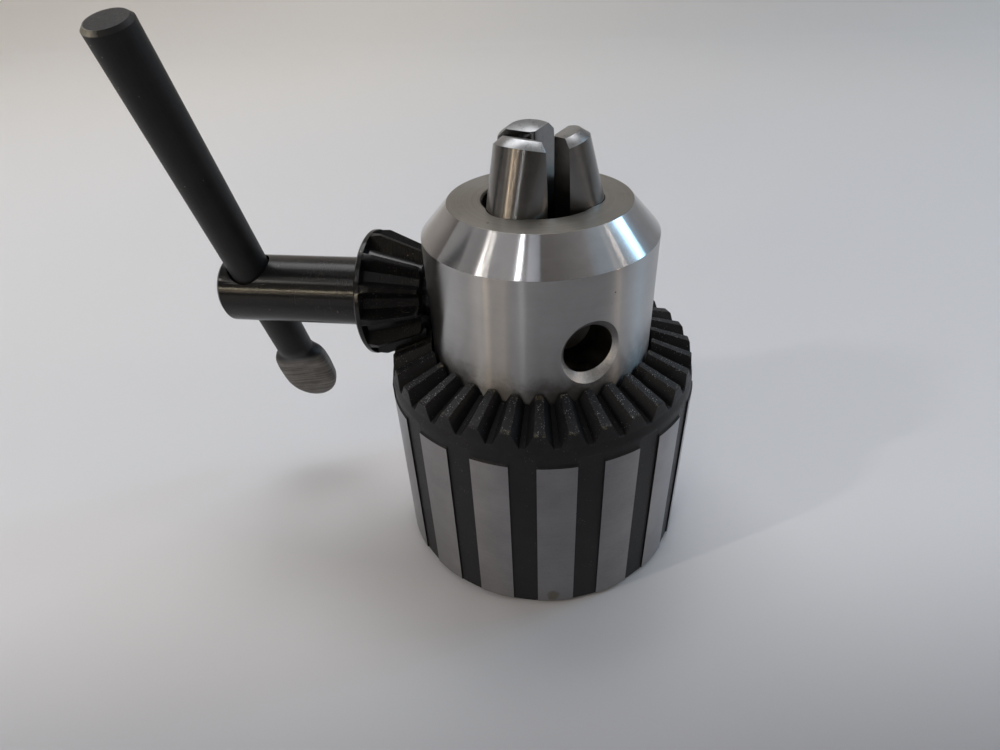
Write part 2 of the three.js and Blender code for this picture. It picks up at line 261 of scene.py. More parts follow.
# ------------------------------------------------------------------ material tools
class Mat:
    def __init__(self, name):
        self.m = bpy.data.materials.new(name)
        self.m.use_nodes = True
        self.t = self.m.node_tree
        self.t.nodes.clear()
        self.out = self.t.nodes.new("ShaderNodeOutputMaterial")
        self.bsdf = self.t.nodes.new("ShaderNodeBsdfPrincipled")
        self.t.links.new(self.bsdf.outputs[0], self.out.inputs[0])
        self.tc = self.t.nodes.new("ShaderNodeTexCoord")
        self.pos = self.tc.outputs["Object"]

    def link(self, a, b):
        self.t.links.new(a, b)

    def node(self, kind, **props):
        n = self.t.nodes.new(kind)
        for k, v in props.items():
            setattr(n, k, v)
        return n

    def feed(self, socket, value):
        if hasattr(value, "links") or isinstance(value, bpy.types.NodeSocket):
            self.link(value, socket)
        else:
            socket.default_value = value

    def math(self, op, a, b=None, c=None, clamp=False):
        n = self.node("ShaderNodeMath", operation=op, use_clamp=clamp)
        for i, v in enumerate((a, b, c)):
            if v is not None:
                self.feed(n.inputs[i], v)
        return n.outputs[0]

    def ramp(self, value, stops, interp="LINEAR"):
        n = self.node("ShaderNodeValToRGB")
        n.color_ramp.interpolation = interp
        e = n.color_ramp.elements
        while len(e) > 1:
            e.remove(e[-1])
        first = True
        for p, c in stops:
            c = (c, c, c, 1) if isinstance(c, (int, float)) else (*c, 1)
            if first:
                e[0].position, e[0].color, first = p, c, False
            else:
                x = e.new(p)
                x.color = c
        self.feed(n.inputs[0], value)
        return n.outputs[0]

    def mapped(self, value, a, b, c, d, clamp=True, smooth=False):
        n = self.node("ShaderNodeMapRange", clamp=clamp)
        if smooth:
            n.interpolation_type = "SMOOTHSTEP"
        self.feed(n.inputs[0], value)
        for i, v in enumerate((a, b, c, d)):
            n.inputs[i + 1].default_value = v
        return n.outputs[0]

    def mix(self, fac, a, b, mode="MIX"):
        n = self.node("ShaderNodeMix", data_type="RGBA", blend_type=mode)
        self.feed(n.inputs[0], fac)
        for i, v in ((6, a), (7, b)):
            if isinstance(v, tuple):
                n.inputs[i].default_value = (*v, 1) if len(v) == 3 else v
            else:
                self.link(v, n.inputs[i])
        return n.outputs[2]

    def mixf(self, fac, a, b):
        n = self.node("ShaderNodeMix", data_type="FLOAT")
        self.feed(n.inputs[0], fac)
        self.feed(n.inputs[2], a)
        self.feed(n.inputs[3], b)
        return n.outputs[0]

    def noise(self, scale, detail=4, rough=0.55, vec=None, stretch=None, distortion=0.0, lac=2.0):
        v = vec or self.pos
        if stretch:
            m = self.node("ShaderNodeMapping")
            m.inputs["Scale"].default_value = stretch
            self.link(v, m.inputs[0])
            v = m.outputs[0]
        n = self.node("ShaderNodeTexNoise")
        n.inputs["Scale"].default_value = scale
        n.inputs["Detail"].default_value = detail
        n.inputs["Roughness"].default_value = rough
        n.inputs["Lacunarity"].default_value = lac
        n.inputs["Distortion"].default_value = distortion
        self.link(v, n.inputs["Vector"])
        return n.outputs[0]

    def cells(self, scale, vec=None, feature="F1", rand=1.0):
        n = self.node("ShaderNodeTexVoronoi", feature=feature)
        n.inputs["Scale"].default_value = scale
        n.inputs["Randomness"].default_value = rand
        self.link(vec or self.pos, n.inputs["Vector"])
        return n.outputs["Distance"]

    def xyz(self, vec=None):
        n = self.node("ShaderNodeSeparateXYZ")
        self.link(vec or self.pos, n.inputs[0])
        return n.outputs

    def vector(self, x, y, z):
        n = self.node("ShaderNodeCombineXYZ")
        for i, v in enumerate((x, y, z)):
            self.feed(n.inputs[i], v)
        return n.outputs[0]

    def polar(self, axis="Z"):
        """radius, angle and height about an axis through the object's origin."""
        x, y, z = self.xyz()
        if axis == "Z":
            a, b, h = x, y, z
        else:
            a, b, h = y, z, x
        r = self.math("SQRT", self.math("ADD", self.math("MULTIPLY", a, a), self.math("MULTIPLY", b, b)))
        ang = self.math("ARCTAN2", b, a)
        return r, ang, h

    def bump(self, height, distance, strength=1.0, normal=None):
        n = self.node("ShaderNodeBump")
        n.inputs["Strength"].default_value = strength
        n.inputs["Distance"].default_value = distance
        self.link(height, n.inputs["Height"])
        if normal is not None:
            self.link(normal, n.inputs["Normal"])
        return n.outputs[0]

    def set(self, **kw):
        names = {"color": "Base Color", "rough": "Roughness", "metal": "Metallic", "normal": "Normal",
                 "spec": "Specular IOR Level", "aniso": "Anisotropic", "coat": "Coat Weight", "coat_rough": "Coat Roughness",
                 "aniso_rot": "Anisotropic Rotation", "tangent": "Tangent", "ior": "IOR"}
        for k, v in kw.items():
            s = self.bsdf.inputs[names[k]]
            if isinstance(v, tuple):
                s.default_value = (*v, 1) if len(v) == 3 else v
            else:
                self.feed(s, v)
        return self


def socket(v):
    return isinstance(v, bpy.types.NodeSocket)


# ------------------------------------------------------------------ materials
def specks(m, scale, size, vec=None):
    """1 inside rare round specks."""
    d = m.cells(scale, vec)
    return m.mapped(d, size * 0.6, size, 1.0, 0.0, smooth=True)


def turned_lines(m, per_mm, along, r, ang, depth=3):
    """Fine lathe rings: quick along the surface line, very slow round the axis."""
    v = m.vector(m.math("MULTIPLY", along, per_mm * 1000), m.math("MULTIPLY", m.math("SINE", ang), 0.35), m.math("MULTIPLY", m.math("COSINE", ang), 0.35))
    return m.noise(1.0, depth, 0.6, vec=v)


def radial_tangent(m, axis="Z"):
    n = m.node("ShaderNodeTangent", direction_type="RADIAL", axis=axis)
    return n.outputs[0]


def steel_barrel():
    m = Mat("turned_steel")
    r, ang, z = m.polar()
    rings = turned_lines(m, 9.0, z, r, ang)
    wide = turned_lines(m, 0.9, z, r, ang, 2)
    cloud = m.noise(160, 4, 0.6)
    fine = m.noise(5200, 3, 0.7)
    tone = m.mix(m.mapped(cloud, 0.35, 0.65, 0, 1), (0.44, 0.436, 0.438), (0.49, 0.486, 0.486))
    tone = m.mix(m.mapped(rings, 0.4, 0.62, 0.0, 0.12), tone, (0.5, 0.495, 0.49))
    tone = m.mix(m.mapped(wide, 0.4, 0.6, 0.0, 0.06), tone, (0.33, 0.32, 0.315))
    # handling grime gathers just over the gear
    low = m.math("ADD", m.math("MULTIPLY", z, 1000), m.mapped(m.noise(420, 5, 0.65), 0, 1, -2.6, 2.6))
    grime = m.mapped(low, 39.6, 44.2, 1.0, 0.0, smooth=True)
    tone = m.mix(m.math("MULTIPLY", grime, 0.78), tone, (0.085, 0.08, 0.072))
    # a few brown pin-point rust marks
    rust = m.math("MULTIPLY", specks(m, 330, 0.085), m.mapped(m.noise(95, 2), 0.56, 0.62, 0, 1))
    tone = m.mix(m.math("MULTIPLY", rust, 0.8), tone, (0.10, 0.055, 0.03))
    rough = m.math("ADD", m.mapped(rings, 0.3, 0.7, 0.285, 0.31), m.mapped(cloud, 0.3, 0.7, -0.008, 0.012))
    rough = m.math("ADD", rough, m.math("MULTIPLY", grime, 0.2))
    rough = m.math("ADD", rough, m.math("MULTIPLY", rust, 0.3))
    h = m.math("ADD", m.math("MULTIPLY", rings, 0.8), m.math("MULTIPLY", fine, 0.2))
    m.set(color=tone, rough=rough, metal=1.0, aniso=1.0, aniso_rot=0.25, tangent=radial_tangent(m), normal=m.bump(h, 0.0000016, 0.5))
    return m.m


def steel_chamfer():
    m = Mat("polished_chamfer")
    r, ang, z = m.polar()
    along = m.math("SUBTRACT", z, r)
    rings = turned_lines(m, 7.0, along, r, ang)
    cloud = m.noise(210, 3, 0.6)
    tone = m.mix(m.mapped(cloud, 0.35, 0.65, 0, 1), (0.47, 0.47, 0.482), (0.53, 0.53, 0.544))
    tone = m.mix(m.mapped(rings, 0.4, 0.6, 0, 0.12), tone, (0.6, 0.6, 0.6))
    h = m.math("ADD", m.math("MULTIPLY", rings, 0.9), m.math("MULTIPLY", m.noise(6000, 2, 0.6), 0.1))
    m.set(color=tone, rough=m.mapped(rings, 0.3, 0.7, 0.135, 0.16), metal=1.0, aniso=0.96, aniso_rot=0.25, tangent=radial_tangent(m), normal=m.bump(h, 0.0000012, 0.5))
    return m.m


def steel_face():
    m = Mat("nose_face_steel")
    r, ang, z = m.polar()
    rings = turned_lines(m, 11.0, r, r, ang)
    cloud = m.noise(240, 5, 0.65)
    stain = m.mapped(m.noise(120, 4, 0.6), 0.42, 0.62, 0, 1)
    tone = m.mix(m.mapped(cloud, 0.35, 0.65, 0, 1), (0.245, 0.234, 0.212), (0.31, 0.298, 0.276))
    tone = m.mix(m.math("MULTIPLY", stain, 0.5), tone, (0.19, 0.172, 0.145))
    tone = m.mix(m.mapped(rings, 0.42, 0.6, 0, 0.2), tone, (0.44, 0.43, 0.41))
    dark = m.math("MULTIPLY", specks(m, 420, 0.11), m.mapped(m.noise(150, 2), 0.54, 0.6, 0, 1))
    tone = m.mix(m.math("MULTIPLY", dark, 0.7), tone, (0.05, 0.045, 0.04))
    h = m.math("ADD", m.math("MULTIPLY", rings, 0.8), m.math("MULTIPLY", m.noise(3800, 3, 0.7), 0.35))
    m.set(color=tone, rough=m.mapped(cloud, 0.3, 0.7, 0.34, 0.46), metal=1.0, aniso=0.4, aniso_rot=0.25, tangent=radial_tangent(m), normal=m.bump(h, 0.000003, 0.5))
    return m.m


def steel_bore():
    m = Mat("oiled_bore_steel")
    cloud = m.noise(300, 5, 0.6)
    fine = m.noise(2600, 4, 0.7)
    tone = m.mix(m.mapped(cloud, 0.35, 0.65, 0, 1), (0.075, 0.07, 0.064), (0.16, 0.15, 0.135))
    tone = m.mix(m.mapped(fine, 0.5, 0.72, 0, 0.4), tone, (0.17, 0.16, 0.145))
    m.set(color=tone, rough=m.mapped(cloud, 0.3, 0.7, 0.3, 0.5), metal=1.0, normal=m.bump(fine, 0.00002, 0.4))
    return m.m


def steel_sink():
    m = Mat("countersink_steel")
    fine = m.noise(3000, 3, 0.7)
    tone = m.mix(m.mapped(fine, 0.35, 0.65, 0, 1), (0.50, 0.495, 0.49), (0.62, 0.618, 0.615))
    m.set(color=tone, rough=m.mapped(fine, 0.3, 0.7, 0.38, 0.48), metal=1.0, normal=m.bump(fine, 0.000003, 0.4))
    return m.m


def steel_hidden(name, lo, hi, rough=(0.3, 0.42)):
    m = Mat(name)
    r, ang, z = m.polar()
    rings = turned_lines(m, 6.0, m.math("ADD", z, r), r, ang)
    cloud = m.noise(260, 4, 0.6)
    tone = m.mix(m.mapped(cloud, 0.35, 0.65, 0, 1), lo, hi)
    tone = m.mix(m.mapped(rings, 0.42, 0.6, 0, 0.3), tone, tuple(min(1, c * 1.35) for c in hi))
    m.set(color=tone, rough=m.mapped(cloud, 0.3, 0.7, *rough), metal=1.0, aniso=0.4, aniso_rot=0.25, tangent=radial_tangent(m), normal=m.bump(rings, 0.000003, 0.5))
    return m.m


def steel_jaw(name, turn):
    """Hardened jaw steel, ground along its length."""
    m = Mat(name)
    # local frame of the jaw: across, round, along
    mp = m.node("ShaderNodeMapping", vector_type="TEXTURE")
    mp.inputs["Location"].default_value = (0, 0, JAW_APEX_Z * MM)
    mp.inputs["Rotation"].default_value = (0, -JAW_TILT, turn)
    m.link(m.pos, mp.inputs[0])
    local = mp.outputs[0]
    x, y, z = m.xyz(local)
    rings = m.noise(1.0, 3, 0.6, vec=m.vector(m.math("MULTIPLY", z, 7000), m.math("MULTIPLY", x, 60), m.math("MULTIPLY", y, 60)))
    cloud = m.noise(950, 5, 0.62)
    fine = m.noise(5200, 3, 0.7)
    tone = m.mix(m.mapped(cloud, 0.33, 0.67, 0, 1), (0.188, 0.184, 0.18), (0.226, 0.222, 0.218))
    tone = m.mix(m.mapped(rings, 0.44, 0.62, 0, 0.2), tone, (0.25, 0.242, 0.234))
    wear = m.math("MULTIPLY", specks(m, 900, 0.16), m.mapped(m.noise(300, 2), 0.5, 0.6, 0, 1))
    tone = m.mix(m.math("MULTIPLY", wear, 0.5), tone, (0.045, 0.04, 0.035))
    h = m.math("ADD", m.math("MULTIPLY", rings, 0.7), m.math("MULTIPLY", fine, 0.3))
    m.set(color=tone, rough=m.mapped(cloud, 0.3, 0.7, 0.235, 0.27), metal=1.0, aniso=0.62, aniso_rot=0.25, tangent=radial_tangent(m), normal=m.bump(h, 0.0000014, 0.4))
    return m.m


def steel_tip():
    m = Mat("ground_jaw_tip")
    cloud = m.noise(420, 4, 0.6)
    fine = m.noise(3600, 3, 0.7, stretch=(1, 0.12, 1))
    tone = m.mix(m.mapped(cloud, 0.35, 0.65, 0, 1), (0.25, 0.256, 0.26), (0.35, 0.356, 0.362))
    m.set(color=tone, rough=m.mapped(fine, 0.3, 0.7, 0.26, 0.36), metal=1.0, normal=m.bump(fine, 0.000006, 0.4))
    return m.m


def oxide(name, lo, hi, rough, grain=2600, depth=0.000022, glint=0.62, worn=(0.5, 0.5, 0.51), ior=1.36):
    """Hot black oxide over machined steel: near black, granular, with pin-point bright grains."""
    m = Mat(name)
    cloud = m.noise(220, 4, 0.6)
    grit = m.noise(grain, 4, 0.72)
    tone = m.mix(m.mapped(cloud, 0.34, 0.66, 0, 1), lo, hi)
    tone = m.mix(m.mapped(grit, 0.52, 0.74, 0, 0.5), tone, tuple(c * 2.3 for c in hi))
    g = m.math("MULTIPLY", specks(m, 2300, 0.17), m.mapped(m.noise(420, 3), 0.54, 0.62, 0, 0.8))
    g = m.math("MULTIPLY", g, 0.45)
    r, ang, z = m.polar()
    # depth into the gear, 0 on the tooth tips and 1 at the roots: tips are rubbed; the roots get painted shade, a
    # darker colour standing in for the shadow deep in the gaps
    cone = m.math("DIVIDE", m.math("SUBTRACT", KEY_Z * MM, z), m.math("MAXIMUM", r, 0.001))
    root_shade = m.mapped(cone, (GEAR_TIP + 0.5) / REF, (GEAR_ROOT - 0.1) / REF, 0.0, 1.0, smooth=True)
    gear = m.math("MULTIPLY", m.mapped(z, 0.0352, 0.0362, 0, 1), m.mapped(r, 0.0258, 0.0256, 0, 1))
    root_shade = m.math("MULTIPLY", root_shade, gear)
    tips = m.math("MULTIPLY", gear, m.mapped(cone, (GEAR_TIP + 0.03) / REF, (GEAR_TIP + 0.3) / REF, 1.0, 0.0))
    more = m.math("MULTIPLY", tips, m.math("MULTIPLY", specks(m, 3600, 0.3), m.mapped(m.noise(620, 4, 0.7), 0.46, 0.6, 0, 1)))
    flakes = m.math("MULTIPLY", gear, m.math("MULTIPLY", specks(m, 2400, 0.2), m.math("MULTIPLY", m.mapped(m.noise(520, 4, 0.7), 0.44, 0.58, 0, 1.0), m.mapped(m.noise(1700, 2), 0.46, 0.62, 0.1, 1.0))))
    more = m.math("MAXIMUM", more, flakes)
    g = m.math("MULTIPLY", m.math("MAXIMUM", g, more), glint)
    # painted shade in the tooth roots: fewer bright grains there, and the colour darkened almost to black
    g = m.math("MULTIPLY", g, m.math("SUBTRACT", 1.0, m.math("MULTIPLY", root_shade, 0.65)))
    tone = m.mix(m.math("MULTIPLY", root_shade, 0.85), tone, (0.0016, 0.0016, 0.0018))
    tone = m.mix(g, tone, worn)
    # yellowish rubbed metal just on the outer and inner ends of the teeth
    rub = m.math("MULTIPLY", tips, m.math("ADD", m.mapped(r, 0.0247, 0.0256, 0, 1), m.mapped(r, 0.0201, 0.0191, 0, 0.8)))
    rub = m.math("MULTIPLY", rub, m.mapped(m.noise(1300, 4, 0.7), 0.53, 0.63, 0, 1))
    tone = m.mix(m.math("MULTIPLY", rub, 0.7), tone, (0.2, 0.175, 0.11))
    rf = m.math("ADD", m.mapped(grit, 0.3, 0.7, rough[0], rough[1]), m.mapped(cloud, 0.3, 0.7, -0.03, 0.05))
    rf = m.math("SUBTRACT", rf, m.math("MULTIPLY", g, 0.2))
    rf = m.math("ADD", rf, m.math("MULTIPLY", root_shade, 0.2))
    h = m.math("ADD", grit, m.math("MULTIPLY", g, 0.5))
    h = m.math("MULTIPLY", h, m.math("ADD", 1.0, m.math("MULTIPLY", gear, 1.2)))
    m.set(color=tone, rough=rf, metal=m.math("MULTIPLY", m.math("MAXIMUM", g, rub), 0.8), ior=ior, normal=m.bump(h, depth, 0.6))
    return m.m


def land_steel():
    m = Mat("ground_land_steel")
    r, ang, z = m.polar()
    rings = turned_lines(m, 7.0, z, r, ang)
    cloud = m.noise(150, 4, 0.6)
    grain = m.noise(3300, 4, 0.7)
    tone = m.mix(m.mapped(cloud, 0.35, 0.65, 0, 1), (0.272, 0.264, 0.274), (0.325, 0.316, 0.324))
    tone = m.mix(m.mapped(grain, 0.4, 0.62, 0, 0.3), tone, (0.36, 0.352, 0.354))
    tone = m.mix(m.mapped(rings, 0.42, 0.6, 0, 0.08), tone, (0.17, 0.166, 0.164))
    # one small oil stain low on a land at the front
    d = m.node("ShaderNodeVectorMath", operation="DISTANCE")
    m.link(m.pos, d.inputs[0])
    a = STAIN_AT
    d.inputs[1].default_value = (SLEEVE_R * MM * math.cos(a), SLEEVE_R * MM * math.sin(a), 0.0024)
    edge = m.math("ADD", m.math("MULTIPLY", d.outputs["Value"], 1000), m.mapped(m.noise(900, 3), 0, 1, -0.8, 0.8))
    stain = m.mapped(edge, 0.7, 1.5, 1.0, 0.0, smooth=True)
    tone = m.mix(m.math("MULTIPLY", stain, 0.6), tone, (0.15, 0.125, 0.07))
    pit = m.math("MULTIPLY", specks(m, 700, 0.1), m.mapped(m.noise(260, 2), 0.56, 0.62, 0, 1))
    tone = m.mix(m.math("MULTIPLY", pit, 0.6), tone, (0.1, 0.08, 0.06))
    h = m.math("ADD", m.math("MULTIPLY", grain, 0.7), m.math("MULTIPLY", rings, 0.4))
    m.set(color=tone, rough=m.mapped(grain, 0.3, 0.7, 0.28, 0.34), metal=1.0, aniso=0.9, aniso_rot=0.25, tangent=radial_tangent(m), normal=m.bump(h, 0.000006, 0.5))
    return m.m


STAIN_AT = math.radians(-79.5)


# ------------------------------------------------------------------ chuck body
HOLES = [math.pi / 3, math.pi, 5 * math.pi / 3]
TURN3 = [k * TAU / 3 for k in range(3)]


def on_jaw_axis(ob, s):
    """from drawn about Z at the origin to the jaw axis in the XZ plane, s down from the apex"""
    m = mm_move(s * math.sin(JAW_TILT), 0, JAW_APEX_Z - s * math.cos(JAW_TILT)) @ Matrix.Rotation(-JAW_TILT, 4, "Y")
    return transform(ob, m)


def paint(ob, materials, pick):
    """pick(face centre in mm, normal) -> index into materials"""
    me = ob.data
    me.materials.clear()
    for mt in materials:
        me.materials.append(mt)
    for p in me.polygons:
        p.material_index = pick(p.center / MM, p.normal)


def make_body():
    ob = turned("body_shell", [
        (0, 24.5), (7.25, 24.5), (7.87, 0.6), (8.47, 0), (23.05, 0, 0.2), (HUB_R, 1.0, 0.2), (HUB_R, HUB_TOP_Z, 0.15),
        (CORE_R, HUB_TOP_Z), (CORE_R, GROOVE_TOP_Z), (BARREL_R, GROOVE_TOP_Z), (BARREL_R, CHAMFER_Z, 0.05),
        (NOSE_TOP_R, NOSE_TOP_Z, 0.1), (BORE_R + 0.3, NOSE_TOP_Z), (BORE_R, NOSE_TOP_Z - 0.3), (BORE_R, BORE_FLOOR_Z), (0, BORE_FLOOR_Z),
    ], 256, 2)
    s_end = (JAW_APEX_Z - JAW_TAIL_Z) / math.cos(JAW_TILT) + OPEN_TRAVEL + 0.35
    s_top = (JAW_APEX_Z - NOSE_TOP_Z) / math.cos(JAW_TILT) - 4
    half = (s_end - s_top) / 2
    bore = turned("bore", [(0, -half), (JAW_BORE_R, -half), (JAW_BORE_R, half), (0, half)], 96)
    copies(on_jaw_axis(bore, (s_end + s_top) / 2), TURN3)
    cut(ob, bore)
    sink = KEY_HOLE_SINK - KEY_HOLE_R
    hole = turned("hole", [(0, KEY_HOLE_BOTTOM - 1.2), (KEY_HOLE_R, KEY_HOLE_BOTTOM), (KEY_HOLE_R, BARREL_R - sink),
                           (KEY_HOLE_SINK + 1.6, BARREL_R + 1.6), (0, BARREL_R + 1.6)], 96)
    transform(hole, mm_move(0, 0, KEY_Z) @ Matrix.Rotation(math.pi / 2, 4, "Y"))
    copies(hole, HOLES)
    cut(ob, hole)
    tidy(ob)
    soften(ob, 0.07, 30, 2, 32)
    mats = [steel_barrel(), steel_chamfer(), steel_face(), steel_bore(), steel_sink(), steel_hidden("body_core_steel", (0.2, 0.195, 0.19), (0.28, 0.275, 0.27))]

    def pick(c, n):
        r = math.hypot(c.x, c.y)
        if c.z > NOSE_TOP_Z - 0.05 and r > BORE_R and n.z > 0.7:
            return 2
        if c.z > CHAMFER_Z - 0.02 and r > NOSE_TOP_R - 0.1 and r > 13.5 + (NOSE_TOP_Z - c.z) * 0.6 and n.z > 0.3:
            return 1
        if GROOVE_TOP_Z < c.z < CHAMFER_Z + 0.1 and r > BARREL_R - 0.03:
            return 0
        if 36 < c.z < 56 and r > BARREL_R - 1.45 and abs(n.z) < 0.98:
            return 4
        if c.z < GROOVE_TOP_Z + 0.1 and r > CORE_R - 0.1 or c.z < 0.7:
            return 5
        return 3
    paint(ob, mats, pick)
    ob.name = "chuck_body_fine"
    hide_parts("chuck_body")
    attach(ob, "body")
    return ob


# ------------------------------------------------------------------ jaws
def make_jaw_mesh():
    s_tail = (JAW_APEX_Z - JAW_TAIL_Z) / math.cos(JAW_TILT)
    half = (s_tail - JAW_TIP_S) / 2
    j = turned("jaw", [(0, -half), (JAW_R - 0.25, -half), (JAW_R, -half + 0.25), (JAW_R, half - JAW_TIP_BEVEL), (JAW_R - JAW_TIP_BEVEL, half), (0, half)], 128)
    on_jaw_axis(j, (s_tail + JAW_TIP_S) / 2)
    edge = JAW_FLAT / math.sin(math.pi / 3)
    far = 32
    w = (far - edge) * math.sqrt(3)
    wedge = hull("wedge", [(edge, 0, 10), (far, -w, 10), (far, w, 10), (edge, 0, 76), (far, -w, 76), (far, w, 76)])
    cut(j, wedge, "INTERSECT")
    nib = hull("nib", box_points(edge - 0.25, edge + 0.25, -3, 3, 36, 78))
    cut(j, nib)
    bevel = hull("tail", box_points(JAW_TAIL_RADIAL, JAW_TAIL_RADIAL + 10, -7, 7, JAW_TAIL_Z - 15, JAW_TAIL_Z + 15))
    cut(j, bevel)
    # partial thread: grooves with leaned flanks and a narrow root
    dz = PITCH * math.cos(JAW_TILT)
    grooves = None
    for k in range(14):
        z = JAW_TAIL_Z + 1.6 + k * dz
        x = min(jaw_reach(z), JAW_TAIL_RADIAL if z < 28 else 99)
        g = hull("groove", [(x + d, y, z + h) for y in (-6, 6) for d, h in ((-RACK_DEPTH, -0.12), (-RACK_DEPTH, 0.12), (1.2, 0.95), (1.2, -0.95))])
        if grooves is None:
            grooves = g
        else:
            bm = bmesh.new()
            bm.from_mesh(grooves.data)
            bm.from_mesh(g.data)
            bm.to_mesh(grooves.data)
            bm.free()
            drop(g)
    cut(j, grooves)
    tidy(j)
    soften(j, 0.09, 30, 2, 32)
    return j


def make_jaws():
    first = make_jaw_mesh()
    tip_mat = steel_tip()
    for i, a in enumerate(TURN3):
        ob = first if i == 0 else first.copy()
        if i:
            ob.data = first_mesh.copy()
            scene.collection.objects.link(ob)
        else:
            first_mesh = first.data.copy()
        ob.data.transform(Matrix.Rotation(a, 4, "Z"))
        ob.name = "jaw_%d_fine" % (i + 1)
        paint(ob, [steel_jaw("jaw_steel_%d" % (i + 1), a), tip_mat], lambda c, n: 1 if c.z > 71.4 and n.z > 0.35 else 0)
        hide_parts("jaw_%d" % (i + 1))
        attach(ob, "jaw_" + "abc"[i])
    bpy.data.meshes.remove(first_mesh)


# ------------------------------------------------------------------ geared sleeve
def make_sleeve():
    def tip_z(r):
        return KEY_Z - GEAR_TIP * r / REF
    ob = turned("sleeve", [
        (SKIRT_R + 0.4, SLEEVE_Z0), (SLEEVE_R - 0.6, SLEEVE_Z0, 0.15), (SLEEVE_R, SLEEVE_Z0 + 0.6, 0.15),
        (SLEEVE_R, LAND_TOP_Z - 0.25, 0.08), (BAND_R, LAND_TOP_Z + 0.1), (BAND_R - 0.02, 34.6, 4.0), (25.85, 36.0, 3.0), (REF, tip_z(REF) - 0.15),
        (REF - 0.2, tip_z(REF - 0.2)), (GEAR_BORE_R, tip_z(GEAR_BORE_R)), (GEAR_BORE_R, CEILING_Z),
        (NUT_SEAT_R, CEILING_Z), (NUT_SEAT_R, NUT_Z0), (SKIRT_R, NUT_Z0 - 0.3), (SKIRT_R, SLEEVE_Z0 + 0.4), (SKIRT_R + 0.4, SLEEVE_Z0),
    ], 320, 3)
    pts = []
    for x in (15, 30):
        f = x / REF
        top = GAP_HALF + (GEAR_ROOT - GEAR_TIP + 2) * FLANK
        for y, d in ((GAP_HALF, GEAR_ROOT), (-GAP_HALF, GEAR_ROOT), (top, GEAR_TIP - 2), (-top, GEAR_TIP - 2)):
            pts.append((x, y * f, KEY_Z - d * f))
    gap = hull("gap", pts)
    copies(gap, [k * TAU / GEAR_TEETH for k in range(GEAR_TEETH)])
    cut(ob, gap)
    tidy(ob)
    soften(ob, 0.17, 26, 3, 30)
    flute = hull("flute", box_points(FLUTE_R, FLUTE_R + 4, -FLUTE_W / 2, FLUTE_W / 2, -0.5, 34.2))
    copies(flute, [k * TAU / LANDS for k in range(LANDS)])
    cut(ob, flute)
    tidy(ob)
    soften(ob, 0.06, 34, 2, 30)
    mats = [oxide("sleeve_oxide", (0.0064, 0.0064, 0.0078), (0.0128, 0.0128, 0.0148), (0.40, 0.56)), land_steel()]

    def pick(c, n):
        r = math.hypot(c.x, c.y)
        radial = (n.x * c.x + n.y * c.y) / max(r, 1e-6)
        return 1 if r > SLEEVE_R - 0.03 and radial > 0.94 and c.z < LAND_TOP_Z else 0
    paint(ob, mats, pick)
    ob.name = "geared_sleeve_fine"
    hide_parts("geared_sleeve")
    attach(ob, "sleeve")
    return ob


# ------------------------------------------------------------------ split nut with its tapered thread
def make_nut():
    base = None
    mat = steel_hidden("nut_steel_fine", (0.12, 0.115, 0.11), (0.19, 0.185, 0.18))
    dz = PITCH * math.cos(JAW_TILT)
    for i, (node, name) in enumerate((("nut_half_a", "nut_half_a_fine"), ("nut_half_b", "nut_half_b_fine"))):
        verts, loops = [], []
        gap = math.asin(NUT_SPLIT / 2 / 20)
        cols = 120
        zs = [NUT_Z0 + (NUT_Z1 - NUT_Z0) * k / 108 for k in range(109)]
        for c in range(cols + 1):
            a = i * math.pi + gap + (math.pi - 2 * gap) * c / cols
            ring = []
            for z in reversed(zs):
                # thread: crests reach in towards the jaws, roots lie further out
                turn = ((z - NUT_Z0) / dz - a / TAU) % 1.0
                tri = abs(turn * 2 - 1)
                form = min(1.0, max(0.0, (tri - 0.12) / 0.76))
                fade = min(1.0, (z - NUT_Z0) / 0.6, (NUT_Z1 - z) / 0.6)
                ring.append((jaw_reach(z) + 0.3 + 0.85 * (form * fade + 1 - fade), z))
            ring += [(NUT_R - 0.5, NUT_Z0), (NUT_R - 0.15, NUT_Z0 + 0.15), (NUT_R, NUT_Z0 + 0.5), (NUT_R, 29.0), (NUT_R, 32.0),
                     (NUT_R, NUT_Z1 - 0.5), (NUT_R - 0.15, NUT_Z1 - 0.15), (NUT_R - 0.5, NUT_Z1)]
            loops.append(list(range(len(verts), len(verts) + len(ring))))
            verts += [(r * math.cos(a), r * math.sin(a), z) for r, z in ring]
        faces = []
        n = len(loops[0])
        for p, q in zip(loops, loops[1:]):
            for k in range(n):
                faces.append([p[k], p[(k + 1) % n], q[(k + 1) % n], q[k]])
        faces.append(loops[0][::-1])
        faces.append(loops[-1])
        ob = mesh_object(name, verts, faces)
        bm = bmesh.new()
        bm.from_mesh(ob.data)
        bmesh.ops.triangulate(bm, faces=[f for f in bm.faces if len(f.verts) > 4])
        bm.to_mesh(ob.data)
        bm.free()
        soften(ob, 0, sharp=40)
        ob.data.materials.append(mat)
        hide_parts(node)
        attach(ob, "sleeve")


def make_washer():
    ob = turned("thrust_washer_fine", [
        (WASHER_R0, WASHER_Z0, 0.2), (WASHER_R1, WASHER_Z0, 0.2), (WASHER_R1, WASHER_Z1, 0.2), (WASHER_R0, WASHER_Z1, 0.2), (WASHER_R0, WASHER_Z0, 0.2),
    ], 192, 3)
    soften(ob, 0, sharp=40)
    ob.data.materials.append(steel_hidden("washer_steel_fine", (0.3, 0.295, 0.29), (0.4, 0.395, 0.39), (0.2, 0.3)))
    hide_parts("thrust_washer")
    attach(ob, "body")


# ------------------------------------------------------------------ key, drawn along +Z outwards
KEY_FRAME = mm_move(0, 0, KEY_Z) @ Matrix.Rotation(-math.pi / 2, 4, "Y")


